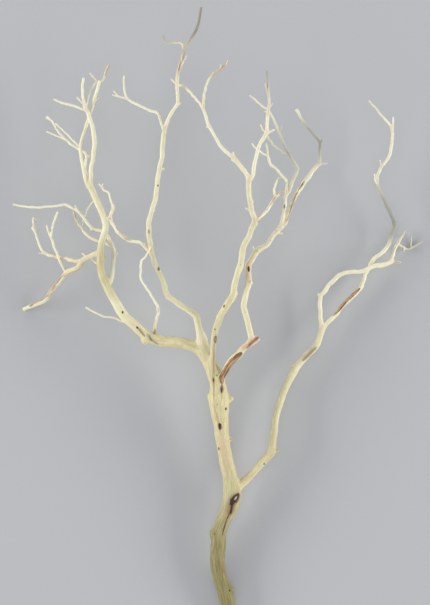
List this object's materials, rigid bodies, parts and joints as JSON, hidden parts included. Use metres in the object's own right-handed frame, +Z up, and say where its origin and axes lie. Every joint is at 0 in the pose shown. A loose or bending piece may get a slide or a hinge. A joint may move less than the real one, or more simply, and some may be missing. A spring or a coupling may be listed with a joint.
{
  "type": "sanded manzanita branch",
  "caption": "Crooked sanded manzanita branch with a sawn trunk end, forking into long limbs and fine twigs, lying down.",
  "frame": {"origin": "middle of the branch's box in plan, on the table it lies on", "axes": "+Z up from the table, +Y along the branch from the sawn end of the trunk to the crown, +X to the right of the branch seen from above with the crown away"},
  "size_m": [0.616, 0.9074, 0.1518],
  "materials": {
    "sanded_wood": "matt, sanded bare wood, pale cream with fine grain",
    "darker_wood": "matt, sanded wood with thin remnants of reddish brown bark"
  },
  "bodies": {
    "root": {"lower_trunk": "darker_wood", "upper_trunk": "sanded_wood", "middle_limb": "sanded_wood", "front_limb": "darker_wood", "front_limb_right_branch": "sanded_wood", "front_limb_left_branch": "sanded_wood", "front_limb_upper_branch": "sanded_wood", "middle_limb_left_branch": "sanded_wood", "middle_limb_right_branch": "sanded_wood", "middle_side_twig": "sanded_wood", "left_limb": "sanded_wood", "inner_twig": "sanded_wood", "claw_limb": "darker_wood", "side_limb": "sanded_wood", "left_crown_right_stem": "sanded_wood", "left_crown_left_stem": "sanded_wood", "left_crown_rear_stem": "sanded_wood", "rear_limb": "sanded_wood", "rear_limb_upper": "sanded_wood", "rear_limb_left_branch": "sanded_wood", "rear_limb_right_branch": "darker_wood", "bronze_side_branch": "darker_wood", "right_limb": "sanded_wood", "right_outer_arm": "sanded_wood", "right_upper_arm": "sanded_wood"}
  },
  "joints": []
}
